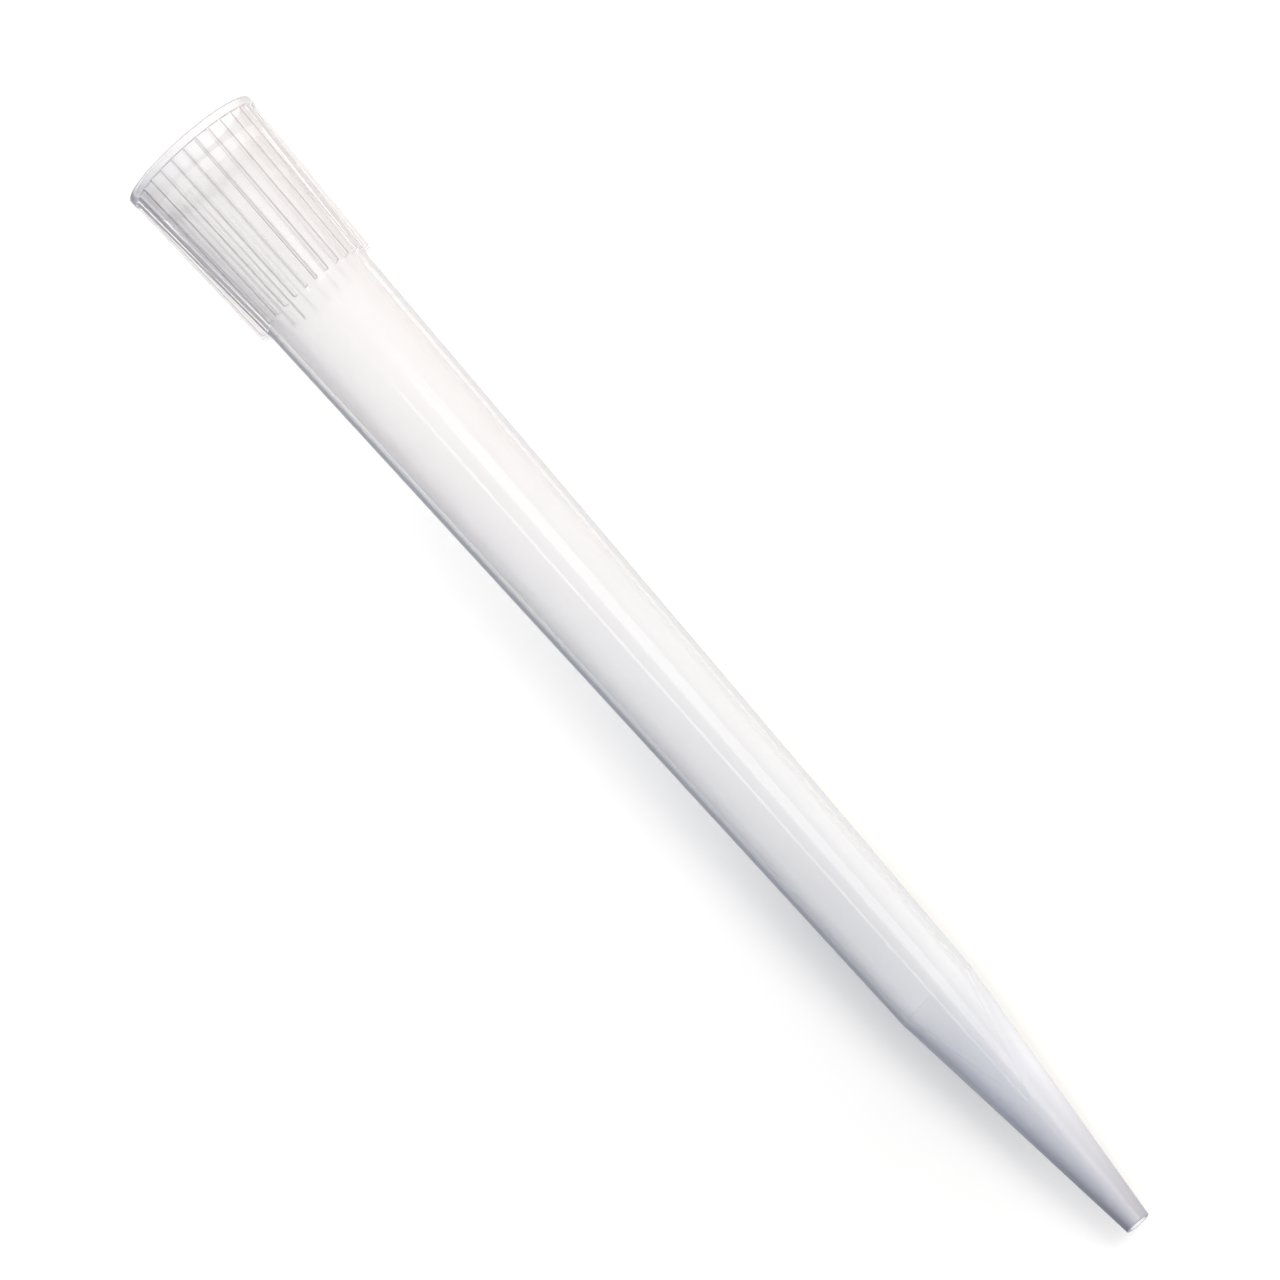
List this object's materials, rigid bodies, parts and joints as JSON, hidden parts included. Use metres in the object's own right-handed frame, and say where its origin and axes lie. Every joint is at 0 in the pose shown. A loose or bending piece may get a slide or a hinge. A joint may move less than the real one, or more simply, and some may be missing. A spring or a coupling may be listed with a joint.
{
  "type": "pipette tip",
  "caption": "Large-volume pipette tip moulded in one piece: ribbed hub with a straight sealing land, long tapered barrel and a steep end cone.",
  "frame": {"origin": "middle of the hub's rim face, on which the tip stands", "axes": "+Z along the tip's axis, from the hub's rim to the orifice; a rib points along +X"},
  "size_m": [0.0168, 0.0168, 0.155],
  "materials": {
    "natural_polypropylene": "satin gloss, translucent milky natural polypropylene"
  },
  "bodies": {
    "root": {"pipette_tip": "natural_polypropylene"}
  },
  "joints": []
}
